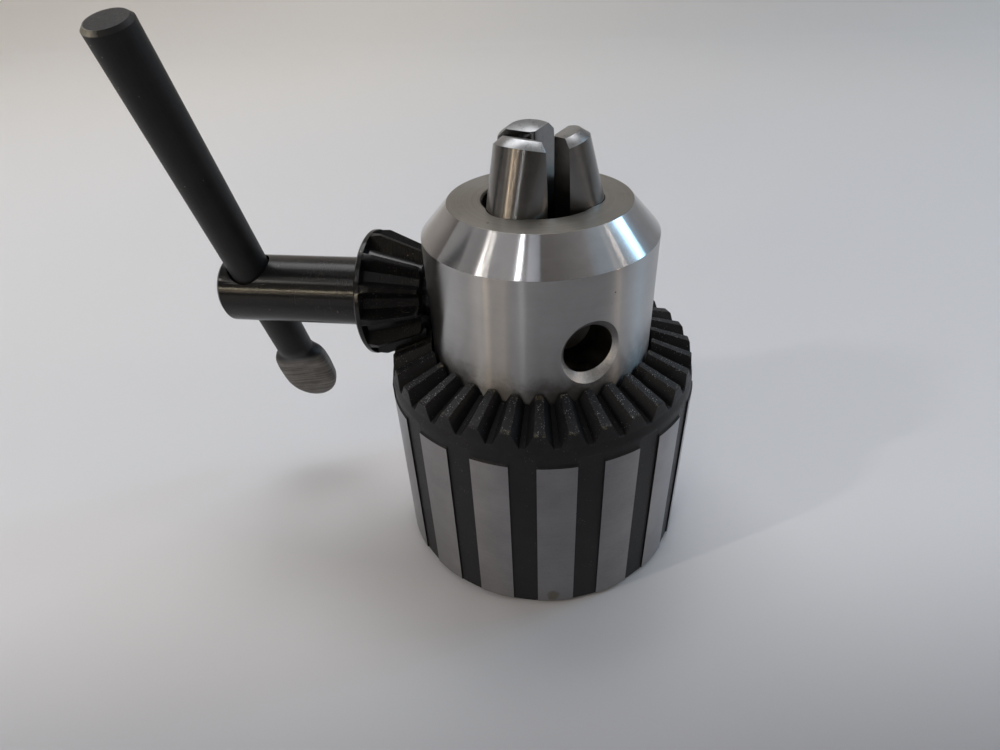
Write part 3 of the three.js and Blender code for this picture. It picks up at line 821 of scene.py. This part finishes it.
def make_key():
    def tip(s):
        return PINION_TIP * s / REF
    ob = turned("key", [
        (0, PILOT_END), (PILOT_R - 0.8, PILOT_END, 0.1), (PILOT_R, PILOT_END + 0.8, 0.2), (PILOT_R, PINION_FRONT),
        (tip(PINION_FRONT) - 0.4, PINION_FRONT, 0.12), (tip(PINION_FRONT + 0.4), PINION_FRONT + 0.4, 0.2), (tip(26.1), 26.1, 0.4), (RIM_R - 0.1, RIM_IN - 0.2, 0.1),
        (RIM_R, RIM_IN, 0.1), (RIM_R, RIM_OUT - 0.35, 0.15), (RIM_R - 0.35, RIM_OUT, 0.15), (SHANK_R + 0.35, RIM_OUT, 0.1), (SHANK_R, RIM_OUT + 0.35, 0.3),
        (SHANK_R, SHANK_END - 0.7, 0.25), (SHANK_R - 0.7, SHANK_END, 0.25), (0, SHANK_END),
    ], 192, 3)
    half = math.pi / PINION_TEETH

    def flank_at(rho):
        y = PINION_TIP_HALF + (PINION_TIP - rho) * PINION_FLANK
        return max(0.12, rho * math.sin(half - math.asin(max(-1, min(1, y / rho)))))
    pts = []
    for s in (14, RIM_IN):
        f = s / REF
        for rho in (PINION_ROOT, PINION_TIP, PINION_TIP + 1.5):
            w = flank_at(PINION_TIP) + 1.5 * 0.9 if rho > PINION_TIP else flank_at(rho)
            pts += [(rho * f, w * f, s), (rho * f, -w * f, s)]
    gap = hull("pgap", pts)
    copies(gap, [(i + 0.5) * 2 * half for i in range(PINION_TEETH)])
    cut(ob, gap)
    # cross hole with a broken edge at both mouths
    hole = turned("xhole", [(0, -10), (BAR_HOLE_R, -10), (BAR_HOLE_R, 10), (0, 10)], 96)
    transform(hole, mm_move(0, 0, BAR_AT) @ Matrix.Rotation(BAR_LEAN, 4, "Z") @ Matrix.Rotation(math.pi / 2, 4, "Y"))
    cut(ob, hole)
    tidy(ob)
    soften(ob, 0.1, 26, 2, 30)
    ob.data.transform(KEY_FRAME)
    ob.name = "chuck_key_fine"
    ob.data.materials.append(key_finish())
    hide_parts("chuck_key")
    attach(ob, "key")
    return ob


def key_finish():
    m = Mat("key_gloss_black")
    x, y, z = m.xyz()
    cloud = m.noise(190, 4, 0.6)
    grit = m.noise(2400, 4, 0.7)
    # light turning marks round the key axis
    rings = m.noise(1.0, 3, 0.6, vec=m.vector(m.math("MULTIPLY", x, 5200), m.math("MULTIPLY", y, 40), m.math("MULTIPLY", z, 40)))
    tone = m.mix(m.mapped(cloud, 0.34, 0.66, 0, 1), (0.0045, 0.0045, 0.005), (0.0095, 0.0093, 0.0097))
    tone = m.mix(m.mapped(rings, 0.46, 0.66, 0, 0.25), tone, (0.018, 0.0175, 0.017))
    spots = m.math("MULTIPLY", specks(m, 1100, 0.13), m.mapped(m.noise(380, 3), 0.55, 0.62, 0, 1))
    spots = m.math("MAXIMUM", spots, m.math("MULTIPLY", specks(m, 3400, 0.15), m.mapped(m.noise(520, 3), 0.45, 0.6, 0.1, 0.7)))
    tone = m.mix(m.math("MULTIPLY", spots, 0.75), tone, (0.34, 0.31, 0.24))
    scratch = m.noise(1.0, 2, 0.5, vec=m.vector(m.math("MULTIPLY", x, 260), m.math("MULTIPLY", y, 5200), m.math("MULTIPLY", z, 5200)))
    worn = m.math("MULTIPLY", m.mapped(scratch, 0.67, 0.74, 0, 0.4), m.mapped(m.noise(260, 3), 0.5, 0.6, 0, 1))
    tone = m.mix(worn, tone, (0.16, 0.145, 0.12))
    rough = m.math("ADD", m.mapped(rings, 0.3, 0.7, 0.19, 0.23), m.mapped(cloud, 0.3, 0.7, -0.02, 0.035))
    shank = m.mapped(x, -RIM_OUT * MM, -(RIM_OUT + 0.5) * MM, 0, 1)
    rough = m.math("ADD", rough, m.math("MULTIPLY", shank, 0.035))
    h = m.math("ADD", m.math("MULTIPLY", rings, 0.3), m.math("MULTIPLY", grit, 0.7))
    m.set(color=tone, rough=rough, metal=m.math("MULTIPLY", spots, 0.6), ior=1.4, aniso=0.9, aniso_rot=0.25, tangent=radial_tangent(m, "X"), normal=m.bump(h, 0.0000032, 0.5))
    return m.m


# ------------------------------------------------------------------ cross bar
def smooth_through(keys, t):
    """monotone-ish cubic through [(t, value...)] sorted by t"""
    if t <= keys[0][0]:
        return keys[0][1:]
    if t >= keys[-1][0]:
        return keys[-1][1:]
    for i in range(len(keys) - 1):
        if keys[i][0] <= t <= keys[i + 1][0]:
            a, b = keys[i], keys[i + 1]
            p = keys[i - 1] if i else a
            q = keys[i + 2] if i + 2 < len(keys) else b
            h = b[0] - a[0]
            u = (t - a[0]) / h
            out = []
            for k in range(1, len(a)):
                def slope(l, c, r):
                    if r[0] == c[0] or c[0] == l[0]:
                        return 0.0
                    d0, d1 = (c[k] - l[k]) / (c[0] - l[0]), (r[k] - c[k]) / (r[0] - c[0])
                    return 0.0 if d0 * d1 <= 0 else 2 * d0 * d1 / (d0 + d1)
                ma, mb = slope(p, a, b) * h, slope(a, b, q) * h
                out.append((2 * u**3 - 3 * u**2 + 1) * a[k] + (u**3 - 2 * u**2 + u) * ma + (-2 * u**3 + 3 * u**2) * b[k] + (u**3 - u**2) * mb)
            return tuple(out)


def make_bar():
    # half width, half thickness, squareness of the section
    keys = [(-33.0, 0.9, 0.8, 2.2), (-32.6, 2.0, 1.2, 2.6), (-31.5, 3.4, 1.5, 3.0), (-29.5, 4.6, 1.66, 3.4), (-27.0, 5.18, 1.73, 3.6), (-23.6, 5.28, 1.78, 3.6),
            (-20.6, 5.1, 1.93, 3.3), (-19.1, 4.7, 2.16, 2.9), (-18.1, 3.75, 2.6, 2.4), (-17.3, 3.38, 2.93, 2.1), (-15.4, BAR_R, BAR_R, 2.0), (47.1, BAR_R, BAR_R, 2.0)]
    ts = [-33.0 + 0.2 * k for k in range(88)] + [-15.4 + 1.0 * k for k in range(58)]
    ts += [42.2 + 0.2 * k for k in range(17)]
    ts = sorted(set(round(t, 3) for t in ts if t < 45.7)) + [45.72, 45.8, 45.92, 46.04, 46.16, 46.26, 46.3]
    ear_at = BAR_UP - 2.0
    N = 112
    turn = PADDLE_TURN
    verts, rings = [], []
    for t in ts:
        a, b, n = smooth_through(keys, t)
        shrink = 0.0
        if t > 45.8:
            shrink = t - 45.8
        ear = 0.88 * max(0.0, 1 - abs(t - ear_at) / 1.5) ** 0.6 if abs(t - ear_at) < 1.5 else 0.0
        ring = []
        for i in range(N):
            u = TAU * i / N
            c, s = math.cos(u), math.sin(u)
            x = (a - shrink) * math.copysign(abs(c) ** (2 / n), c)
            y = (b - shrink) * math.copysign(abs(s) ** (2 / n), s)
            if ear:
                y += ear * max(0.0, (s - 0.86) / 0.14) ** 0.8
            if t < -15:
                x, y = x * math.cos(turn) - y * math.sin(turn), x * math.sin(turn) + y * math.cos(turn)
            ring.append((x, y, t))
        rings.append(list(range(len(verts), len(verts) + N)))
        verts += ring
    faces = []
    for p, q in zip(rings, rings[1:]):
        for i in range(N):
            j = (i + 1) % N
            faces.append([p[i], p[j], q[j], q[i]])
    faces.append(rings[0][::-1])
    faces.append(rings[-1])
    ob = mesh_object("key_cross_bar_fine", verts, faces)
    soften(ob, 0, sharp=38)
    ob.data.transform(mm_move(-BAR_AT, 0, KEY_Z) @ Matrix.Rotation(-BAR_LEAN, 4, "X"))
    ob.data.materials.append(bar_finish())
    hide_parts("key_cross_bar")
    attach(ob, "bar")
    return ob


def bar_finish():
    m = Mat("bar_satin_black")
    # bar frame: z along the bar
    mp = m.node("ShaderNodeMapping", vector_type="TEXTURE")
    mp.inputs["Location"].default_value = (-BAR_AT * MM, 0, KEY_Z * MM)
    mp.inputs["Rotation"].default_value = (-BAR_LEAN, 0, 0)
    m.link(m.pos, mp.inputs[0])
    local = mp.outputs[0]
    x, y, z = m.xyz(local)
    cloud = m.noise(210, 5, 0.62)
    grit = m.noise(2100, 4, 0.72)
    drawn = m.noise(1.0, 2, 0.5, vec=m.vector(m.math("MULTIPLY", x, 3600), m.math("MULTIPLY", y, 3600), m.math("MULTIPLY", z, 60)))
    tone = m.mix(m.mapped(cloud, 0.34, 0.66, 0, 1), (0.0082, 0.008, 0.0084), (0.0135, 0.0132, 0.0136))
    tone = m.mix(m.mapped(drawn, 0.5, 0.68, 0, 0.2), tone, (0.02, 0.0196, 0.019))
    # dust and handling marks
    dust = m.math("MULTIPLY", specks(m, 950, 0.12), m.mapped(m.noise(300, 3), 0.53, 0.6, 0, 1))
    tone = m.mix(m.math("MULTIPLY", dust, 0.55), tone, (0.24, 0.23, 0.2))
    # the edge of the upper end is painted bright metal on one side: partly rubbed wear, partly a painted edge highlight
    zz = m.math("MULTIPLY", z, 1000)
    rr = m.math("MULTIPLY", m.math("SQRT", m.math("ADD", m.math("MULTIPLY", x, x), m.math("MULTIPLY", y, y))), 1000)
    rim_wear_and_highlight = m.math("MULTIPLY", m.mapped(zz, 45.7, 45.85, 0, 1), m.mapped(rr, 2.65, 2.8, 0, 1))
    rim_wear_and_highlight = m.math("MULTIPLY", rim_wear_and_highlight, m.mapped(m.math("ADD", m.math("MULTIPLY", x, 1000), m.mapped(m.noise(700, 3), 0, 1, -1.2, 1.2)), 0.6, -1.2, 0, 1))
    tone = m.mix(m.math("MULTIPLY", rim_wear_and_highlight, 0.85), tone, (0.36, 0.34, 0.29))
    # paddle faces are worn back to a warm brown grey
    zp = m.math("MULTIPLY", z, 1000)
    face = m.mapped(zp, -20.4, -18.2, 1.0, 0.0, smooth=True)
    worn = m.math("MULTIPLY", face, m.mapped(m.noise(340, 5, 0.6), 0.3, 0.6, 0.55, 1.0))
    tone = m.mix(m.math("MULTIPLY", worn, 0.85), tone, (0.25, 0.234, 0.218))
    tone = m.mix(m.math("MULTIPLY", m.math("MULTIPLY", face, m.mapped(grit, 0.5, 0.68, 0, 1)), 0.5), tone, (0.16, 0.145, 0.12))
    rough = m.math("ADD", m.mapped(grit, 0.3, 0.7, 0.42, 0.54), m.mapped(cloud, 0.3, 0.7, -0.04, 0.05))
    rough = m.math("ADD", rough, m.math("MULTIPLY", face, 0.04))
    # press marks run across the paddle
    press = m.noise(1.0, 2, 0.5, vec=m.vector(m.math("MULTIPLY", x, 120), m.math("MULTIPLY", y, 120), m.math("MULTIPLY", z, 2100)))
    tone = m.mix(m.math("MULTIPLY", face, m.mapped(press, 0.42, 0.6, 0, 0.45)), tone, (0.02, 0.018, 0.015))
    h = m.math("ADD", m.math("MULTIPLY", grit, 0.75), m.math("MULTIPLY", drawn, 0.3))
    h = m.math("ADD", h, m.math("MULTIPLY", m.math("MULTIPLY", press, face), 1.5))
    m.set(color=tone, rough=rough, metal=m.math("MAXIMUM", m.math("MULTIPLY", worn, 0.35), m.math("MULTIPLY", rim_wear_and_highlight, 0.9)), ior=1.33, normal=m.bump(h, 0.00001, 0.5))
    return m.m


# ------------------------------------------------------------------ stage and lights
def make_stage():
    # one sheet: flat floor running into a low curved sweep far behind
    pts = []
    y0, y1, rad, top = -1.2, 0.62, 0.12, 1.1
    prof = [(-5.0, 0.0), (y0, 0.0), (-0.5, 0.0), (0.0, 0.0), (0.3, 0.0), (y1, 0.0)]
    prof += [(y1 + rad * math.sin(a), rad - rad * math.cos(a)) for a in [math.pi / 2 * k / 16 for k in range(1, 17)]]
    prof += [(y1 + rad, 0.5), (y1 + rad, top)]
    verts, faces = [], []
    xs = [-6.0, -2.4, -1.2, -0.4, 0.4, 1.2, 2.4, 6.0]
    for x in xs:
        for y, z in prof:
            verts.append((x / MM, y / MM, z / MM))
    n = len(prof)
    for i in range(len(xs) - 1):
        for k in range(n - 1):
            faces.append([i * n + k, (i + 1) * n + k, (i + 1) * n + k + 1, i * n + k + 1])
    ob = mesh_object("floor", verts, faces)
    ob.data.shade_smooth()
    m = Mat("floor_pale")
    n1 = m.noise(3, 3, 0.5)
    n2 = m.noise(900, 2, 0.5)
    tone = m.mix(m.mapped(n1, 0.3, 0.7, 0, 1), (0.69, 0.695, 0.725), (0.72, 0.725, 0.75))
    x, y, z = m.xyz()
    # painted light: the floor is lighter towards the left, and the far sweep is painted lighter on the left, where the
    # broad light comes from; the sweep's warm tint is its own colour
    tone = m.mix(m.mapped(x, 0.1, -0.35, 0.0, 1.0, smooth=True), tone, (0.885, 0.875, 0.875))
    far = m.mapped(y, 0.12, 0.5, 0.0, 0.75, smooth=True)
    tone = m.mix(far, tone, m.mix(m.mapped(x, 0.3, -0.3, 0.0, 1.0, smooth=True), (0.72, 0.70, 0.685), (0.90, 0.865, 0.82)))
    # painted shadow: a dark soft band on the floor in front of the chuck, lighter again further forward
    painted_shadow = m.mapped(m.math("ADD", y, m.math("MULTIPLY", x, -0.25)), -0.088, -0.008, 0.9, 0.0, smooth=True)
    painted_shadow = m.math("MULTIPLY", painted_shadow, m.mapped(y, -0.125, -0.062, 0.3, 1.0, smooth=True))
    tone = m.mix(painted_shadow, tone, (0.13, 0.124, 0.136))
    m.set(color=tone, rough=0.5, spec=0.35, normal=m.bump(n2, 0.00004, 0.2))
    ob.data.materials.append(m.m)


def area(name, az, el, dist, w, h, power, color, target=(0, 0, 0.04)):
    """az is the compass direction of the light from the object, from +X towards +Y"""
    data = bpy.data.lights.new(name, "AREA")
    data.shape, data.size, data.size_y = "RECTANGLE", w, h
    data.energy, data.color = power, color
    ob = bpy.data.objects.new(name, data)
    a, e = math.radians(az), math.radians(el)
    d = Vector((math.cos(a) * math.cos(e), math.sin(a) * math.cos(e), math.sin(e)))
    ob.location = Vector(target) + d * dist
    ob.rotation_mode = "QUATERNION"
    ob.rotation_quaternion = d.to_track_quat("Z", "Y")
    scene.collection.objects.link(ob)
    return ob


def make_lights():
    # tall narrow lamps on the camera side draw the streaks down the turned steel
    area("lamp_front", -111, 54, 1.4, 0.010, 0.50, 0.64, (0.97, 0.985, 1.0))
    area("strip_front", -100, 9, 1.5, 0.006, 0.25, 0.42, (0.97, 0.985, 1.0))
    area("lamp_left", -148, 35, 1.6, 0.02, 0.15, 2.7, (1.0, 0.94, 0.87))
    area("strip_left", -133, 9, 1.5, 0.014, 0.15, 0.8, (1.0, 0.80, 0.58))
    area("strip_left_b", -124, 9, 1.5, 0.012, 0.15, 0.22, (1.0, 0.84, 0.66))
    area("strip_mid", -118, 17, 1.5, 0.014, 0.30, 0.55, (1.0, 0.80, 0.58))
    area("lamp_far_left", -150, 47, 1.5, 0.008, 0.25, 0.17, (1.0, 0.95, 0.86))
    area("strip_far_left", -148, 13, 1.5, 0.05, 0.25, 0.14, (1.0, 0.88, 0.72))
    area("panel_front", -92, 57, 1.5, 0.24, 0.3, 0.11, (0.82, 0.88, 1.0))
    area("panel_front_left", -120, 54, 1.5, 1.0, 0.3, 0.36, (0.96, 0.94, 0.95))
    area("panel_mid", -114, 27, 1.5, 0.3, 0.45, 0.3, (1.0, 0.93, 0.82))
    area("panel_right", -2, 42, 1.5, 0.9, 0.35, 0.15, (0.25, 0.66, 1.0))
    area("lamp_right_high", 9, 36, 1.5, 0.010, 0.2, 0.065, (1.0, 0.84, 0.70))
    area("lamp_right", -8, 20, 1.5, 0.018, 0.4, 1.0, (1.0, 0.80, 0.62))
    # a snooted spot draws the line along the key's shank
    spot = bpy.data.lights.new("spot_key", "SPOT")
    spot.energy, spot.color, spot.shadow_soft_size = 3.6, (1.0, 0.88, 0.64), 0.03
    spot.spot_size, spot.spot_blend = math.radians(3.6), 0.35
    ob = bpy.data.objects.new("spot_key", spot)
    a, e = math.radians(-118.7), math.radians(18.5)
    d = Vector((math.cos(a) * math.cos(e), math.sin(a) * math.cos(e), math.sin(e)))
    ob.location = Vector((-0.042, 0, KEY_Z * MM)) + d * 0.6
    ob.rotation_mode = "QUATERNION"
    ob.rotation_quaternion = d.to_track_quat("Z", "Y")
    scene.collection.objects.link(ob)
    # broad soft light: large from the left and behind, cooler from the right
    area("window_left", 118, 60, 1.7, 1.3, 0.8, 9.0, (0.98, 0.985, 1.0))
    area("window_right", 29, 33, 1.5, 0.36, 0.6, 3.7, (0.44, 0.74, 1.0))
    area("top_back", 75, 62, 1.8, 1.0, 0.6, 4.5, (0.98, 0.98, 1.0))
    w = bpy.data.worlds.new("room")
    w.use_nodes = True
    t = w.node_tree
    bg = t.nodes["Background"]
    tc = t.nodes.new("ShaderNodeTexCoord")
    sep = t.nodes.new("ShaderNodeSeparateXYZ")
    t.links.new(tc.outputs["Generated"], sep.inputs[0])

    def ramp(src, stops):
        n = t.nodes.new("ShaderNodeValToRGB")
        e = n.color_ramp.elements
        e[0].position, e[0].color = stops[0][0], (*stops[0][1], 1)
        e[1].position, e[1].color = stops[-1][0], (*stops[-1][1], 1)
        for p, c in stops[1:-1]:
            x = e.new(p)
            x.color = (*c, 1)
        t.links.new(src, n.inputs[0])
        return n.outputs[0]
    up = ramp(sep.outputs["Z"], [(0.0, (0.34, 0.325, 0.305)), (0.35, (0.42, 0.41, 0.40)), (1.0, (0.46, 0.46, 0.47))])
    shift = t.nodes.new("ShaderNodeMapRange")
    shift.inputs[1].default_value, shift.inputs[2].default_value = -1.0, 1.0
    t.links.new(sep.outputs["Y"], shift.inputs[0])
    side = ramp(shift.outputs[0], [(0.0, (0.16, 0.14, 0.12)), (0.2, (0.26, 0.235, 0.21)), (0.45, (0.75, 0.73, 0.71)), (1.0, (1.15, 1.14, 1.13))])
    mul = t.nodes.new("ShaderNodeMix")
    mul.data_type, mul.blend_type = "RGBA", "MULTIPLY"
    mul.inputs[0].default_value = 1.0
    t.links.new(up, mul.inputs[6])
    t.links.new(side, mul.inputs[7])
    t.links.new(mul.outputs[2], bg.inputs["Color"])
    bg.inputs["Strength"].default_value = 1.0
    scene.world = w


make_stage()
make_lights()
make_body()
make_jaws()
make_sleeve()
make_nut()
make_washer()
make_key()
make_bar()

scene.view_settings.view_transform = "Standard"
scene.view_settings.look = "None"
scene.view_settings.exposure = 0.0
